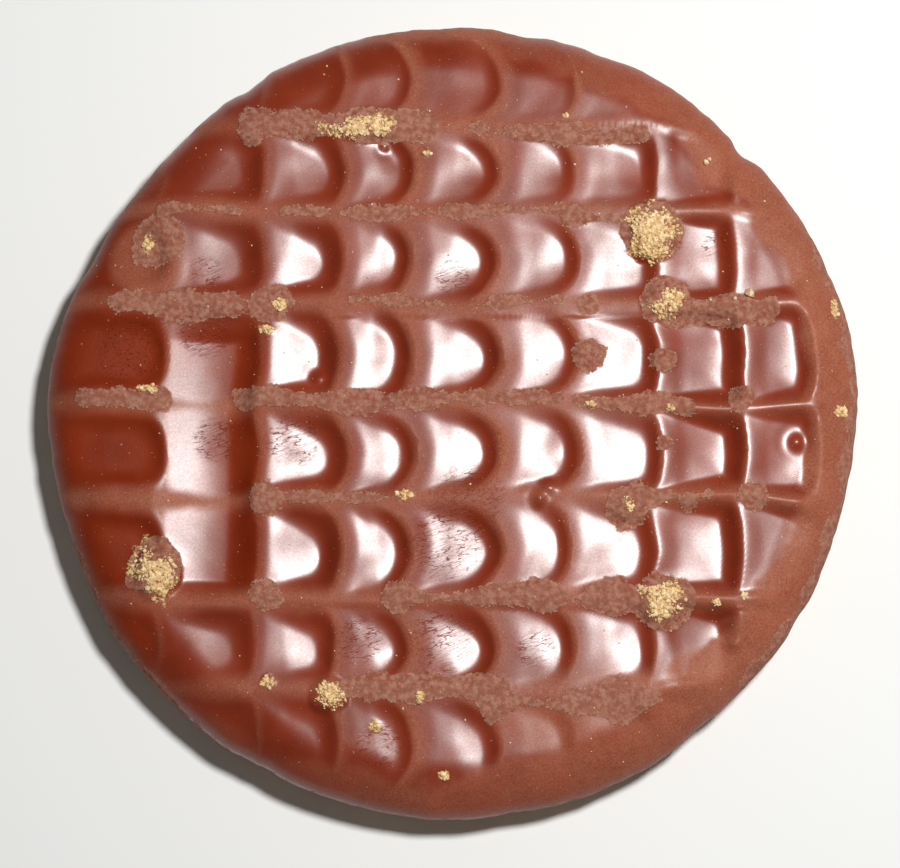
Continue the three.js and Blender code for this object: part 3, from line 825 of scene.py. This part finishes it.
class Wire:
    def __init__(self, tree, socket=None):
        self.tree = tree
        self.socket = socket

    def node(self, kind, settings, inputs, output=0):
        made = self.tree.nodes.new("ShaderNode" + kind)
        for name, value in settings.items():
            setattr(made, name, value)
        for name, value in inputs.items():
            if isinstance(value, Wire):
                self.tree.links.new(value.socket, made.inputs[name])
            else:
                made.inputs[name].default_value = value
        return Wire(self.tree, made.outputs[output] if made.outputs else None)

    def sum(self, operation, first, second):
        return self.node("Math", {"operation": operation}, {0: first, 1: second})

    def __add__(self, other):
        return self.sum("ADD", self, other)

    def __radd__(self, other):
        return self.sum("ADD", other, self)

    def __sub__(self, other):
        return self.sum("SUBTRACT", self, other)

    def __rsub__(self, other):
        return self.sum("SUBTRACT", other, self)

    def __mul__(self, other):
        return self.sum("MULTIPLY", self, other)

    def __rmul__(self, other):
        return self.sum("MULTIPLY", other, self)

    def __abs__(self):
        return self.sum("ABSOLUTE", self, 0.0)

    def ease(self, start, end):      # 0 at start, 1 at end, smoothly between
        settings = {"interpolation_type": "SMOOTHSTEP"}
        return self.node("MapRange", settings, {"Value": self, "From Min": start, "From Max": end})

    def attribute(self, name):
        return self.node("Attribute", {"attribute_name": name}, {}, "Fac")

    def place(self):
        return self.node("TexCoord", {}, {}, "Object")

    def noise(self, place, size, detail=2.0):        # size in millimetres; from 0 to 1
        inputs = {"Vector": place, "Scale": 1 / (size * metre), "Detail": detail}
        return self.node("TexNoise", {}, inputs, "Fac")

    def bump(self, height):          # height in millimetres
        return self.node("Bump", {}, {"Height": height, "Distance": metre, "Strength": 1.0})

    def blend(self, share, first, second):           # a colour between two
        inputs = {0: share, 6: first, 7: second}
        return self.node("Mix", {"data_type": "RGBA"}, inputs, 2)


def startMaterial(name):
    material = bpy.data.materials.new(name)
    material.use_nodes = True
    material.node_tree.nodes.clear()
    return material, Wire(material.node_tree)


def finishMaterial(piece, material, wire, shader):
    wire.node("OutputMaterial", {}, {"Surface": shader})
    piece.data.materials.clear()
    piece.data.materials.append(material)


def colour(red, green, blue):
    return (red, green, blue, 1.0)


chocolate = {
    "brown": colour(0.235, 0.0265, 0.006),
    "deepBrown": colour(0.190, 0.019, 0.003),
    # the paler tone of painted sheen along the rim, also laid over the dull worn ridges
    "wearAndPaintedSheenTone": colour(0.43, 0.172, 0.103),
    "scuffed": colour(0.27, 0.102, 0.065),
    "powder": colour(0.39, 0.182, 0.124),
    "dust": colour(0.62, 0.36, 0.22),
    "golden": colour(0.84, 0.60, 0.27),
    "toasted": colour(0.40, 0.19, 0.075),
    "roughness": 0.46,
    "scuffRoughness": 0.8,
    "gloss": 1.0,
    "glossRoughness": 0.275,
    "sheen": {"strength": 0.2, "tint": colour(1.0, 0.72, 0.58)},     # the broad warm shine under the gloss
}


def chocolateMaterial(piece):
    material, wire = startMaterial("milkChocolate")
    place = wire.place()
    coarse, fine = wire.noise(place, 0.8), wire.noise(place, 0.2)
    grain = wire.noise(place, 0.16, 2.0).ease(0.3, 0.7)
    grainy = wire.noise(place, 0.3, 3.0)

    # scuffed patches with pale specks along their edges, and crumb that shows in the coat
    scuffEdge = wire.attribute("scuff") + (coarse - 0.5) * 0.8 + (fine - 0.5) * 0.4
    scuffed = scuffEdge.ease(-0.02, 0.12)
    paleEdgeSpecks = (1 - abs(scuffEdge - 0.1).ease(0.0, 0.14)) * fine.ease(0.48, 0.6)
    crumbed = (wire.attribute("crumb") + (grainy - 0.5) * 1.6).ease(0.15, 0.4)
    dull = wire.sum("MAXIMUM", scuffed, crumbed)

    # the plain chocolate, with painted sheen along its rim and on its worn ridges, and dust
    patches = wire.noise(place, 4.0, 3.0).ease(0.3, 0.7)
    brown = wire.blend(patches, chocolate["brown"], chocolate["deepBrown"])
    cloudy = 0.15 + 0.5 * coarse + 0.6 * wire.noise(place, 2.6, 3.0) + 0.6 * grain
    # painted sheen: the paler tone along the rim, widest towards the light, and on the worn ridges
    brown = wire.blend(wire.attribute("wearAndPaintedSheen") * cloudy, brown, chocolate["wearAndPaintedSheenTone"])
    specks = wire.noise(place, 0.24, 1.0).ease(0.755, 0.79)
    brown = wire.blend(specks * 0.6, brown, chocolate["dust"])

    # the scuffs' powder and the crumb's gold laid over it
    powdery = wire.noise(place, 0.5, 4.0).ease(0.34, 0.66)
    powder = wire.blend(powdery, chocolate["scuffed"], chocolate["powder"])
    dusty = wire.sum("MAXIMUM", paleEdgeSpecks * 0.4, wire.noise(place, 0.2, 1.0).ease(0.70, 0.78) * 0.6)
    powder = wire.blend(dusty, powder, chocolate["dust"])
    covered = 0.45 + 0.55 * wire.noise(place, 0.4, 4.0).ease(0.36, 0.56)
    brown = wire.blend(scuffed * covered, brown, powder)
    crumb = wire.blend(wire.noise(place, 0.28).ease(0.38, 0.6), chocolate["toasted"], chocolate["golden"])
    final = wire.blend(crumbed, brown, crumb)

    def streaks(length, width, turn, line):      # thin lines where a stretched noise crosses its middle
        stretched = wire.node("Mapping", {"vector_type": "TEXTURE"}, {
            "Vector": place,
            "Rotation": (0, 0, math.radians(turn)),
            "Scale": (length * metre, width * metre, 1.0),
        })
        noise = wire.node("TexNoise", {}, {"Vector": stretched, "Scale": 1.0, "Detail": 2.0}, "Fac")
        return 1 - abs(noise - 0.5).ease(0.0, line)

    # relief too fine for the mesh
    rubbed = wire.attribute("scratch")
    cracks = streaks(1.5, 0.5, 12, 0.035) * rubbed * wire.noise(place, 1.2, 2.0).ease(0.42, 0.52)
    hatch = streaks(2.2, 0.16, 24, 0.06) * rubbed
    pits = wire.noise(place, 0.26, 1.0).ease(0.64, 0.72) * (0.15 + rubbed)
    height = (
        0.012 * wire.noise(place, 0.5) + 0.010 * wire.noise(place, 0.15)
        + scuffed * (0.015 + 0.07 * grainy) + 0.06 * crumbed * grainy
        - 0.008 * hatch - 0.02 * cracks - 0.05 * pits
    )
    glossy = (1 - dull) * wire.attribute("shine") * (1 - 0.95 * cracks) * (1 - 0.5 * hatch)
    glossy = glossy * (0.75 + 0.25 * grain)
    shader = wire.node("BsdfPrincipled", {}, {
        "Base Color": final,
        "Roughness": chocolate["roughness"] + dull * (chocolate["scuffRoughness"] - chocolate["roughness"]),
        "Coat Weight": glossy * chocolate["gloss"],
        "Coat Roughness": chocolate["glossRoughness"],
        "Specular IOR Level": chocolate["sheen"]["strength"],
        "Specular Tint": chocolate["sheen"]["tint"],
        "Normal": wire.bump(height),
    })
    finishMaterial(piece, material, wire, shader)


biscuitFinish = {
    "golden": colour(0.50, 0.27, 0.095),
    "pale": colour(0.62, 0.38, 0.16),
    "toasted": colour(0.27, 0.12, 0.035),
    "bran": colour(0.14, 0.06, 0.02),
    "roughness": 0.85,
}


def biscuitMaterial(piece):
    material, wire = startMaterial("bakedBiscuit")
    place = wire.place()
    patches = wire.noise(place, 6.0, 3.0).ease(0.35, 0.65)
    tone = wire.blend(patches, biscuitFinish["golden"], biscuitFinish["pale"])
    tone = wire.blend(wire.noise(place, 0.9, 3.0).ease(0.5, 0.68), tone, biscuitFinish["toasted"])
    tone = wire.blend(wire.noise(place, 0.55, 1.0).ease(0.66, 0.72), tone, biscuitFinish["bran"])
    height = 0.05 * wire.noise(place, 0.5, 4.0) + 0.02 * wire.noise(place, 0.14, 2.0)
    shader = wire.node("BsdfPrincipled", {}, {
        "Base Color": tone, "Roughness": biscuitFinish["roughness"], "Normal": wire.bump(height),
    })
    finishMaterial(piece, material, wire, shader)


crumbFinish = {
    "goldenCrumb": {"light": colour(0.92, 0.72, 0.41), "dark": colour(0.66, 0.42, 0.19)},
    "paleCrumb": {"light": colour(0.85, 0.68, 0.45), "dark": colour(0.60, 0.38, 0.18)},
    "roughness": 0.8,
}


def crumbMaterial(piece, name):
    material, wire = startMaterial(name)
    place = wire.place()
    shade = wire.noise(place, 0.4, 2.0).ease(0.35, 0.65)
    tone = wire.blend(shade, crumbFinish[name]["dark"], crumbFinish[name]["light"])
    normal = wire.bump(0.02 * wire.noise(place, 0.1))
    shader = wire.node("BsdfPrincipled", {}, {
        "Base Color": tone, "Roughness": crumbFinish["roughness"], "Normal": normal,
    })
    finishMaterial(piece, material, wire, shader)


# putting the pieces together

coatPiece = makeCoat()
chocolateMaterial(coatPiece)
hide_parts("chocolate")
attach(coatPiece, "root")
print("the coat is made")

bakedPiece = makeBaked()
biscuitMaterial(bakedPiece)
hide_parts("biscuit")
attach(bakedPiece, "root")
print("the baked biscuit is made")

goldenPiece = makeGoldenCrumbs()
crumbMaterial(goldenPiece, "goldenCrumb")
palePiece = makePaleCrumbs()
crumbMaterial(palePiece, "paleCrumb")
for piece in (goldenPiece, palePiece):
    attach(piece, "root")
print("the crumbs are scattered")


# the floor, the light and the camera

stage = {
    "floorSize": 1.5,
    "floorColour": colour(0.86, 0.86, 0.84),
    "floorRoughness": 0.7,
    "light": {"place": (0.090, 0.052, 0.288), "size": 0.045, "watts": 0.95},
    "fill": 0.1,
    "camera": (0.0, -0.052, 0.295),
    "target": (-0.00021, -0.00160, 0.0041),
    "lens": 138.6,
    "sensor": 36,
    "sight": (0.01, 10),             # nearest and farthest that the camera sees
}


def makeFloor():
    deselectAll()
    bpy.ops.mesh.primitive_plane_add(size=stage["floorSize"])
    floor = bpy.context.object
    floor.name = "floor"
    material, wire = startMaterial("paleFloor")
    shader = wire.node("BsdfPrincipled", {}, {
        "Base Color": stage["floorColour"], "Roughness": stage["floorRoughness"],
    })
    finishMaterial(floor, material, wire, shader)


def aim(thing, place, target):
    thing.location = place
    thing.rotation_mode = "QUATERNION"
    thing.rotation_quaternion = (Vector(target) - Vector(place)).to_track_quat("-Z", "Y")


def makeLight():
    lamp = bpy.data.lights.new("softLight", "AREA")
    lamp.shape = "DISK"
    lamp.size = stage["light"]["size"]
    lamp.energy = stage["light"]["watts"]
    light = bpy.data.objects.new("softLight", lamp)
    bpy.context.scene.collection.objects.link(light)
    aim(light, stage["light"]["place"], (0, 0, 0))
    world = bpy.data.worlds.new("paleRoom")
    world.use_nodes = True
    background = world.node_tree.nodes["Background"]
    background.inputs["Color"].default_value = colour(1, 1, 1)
    background.inputs["Strength"].default_value = stage["fill"]
    bpy.context.scene.world = world


def makeCamera():
    lens = bpy.data.cameras.new("camera")
    lens.lens = stage["lens"]
    lens.sensor_width = stage["sensor"]
    lens.clip_start, lens.clip_end = stage["sight"]
    camera = bpy.data.objects.new("camera", lens)
    bpy.context.scene.collection.objects.link(camera)
    aim(camera, stage["camera"], stage["target"])
    bpy.context.scene.camera = camera


makeFloor()
makeLight()
makeCamera()
bpy.context.scene.view_settings.view_transform = "Standard"
print("the stage is set")
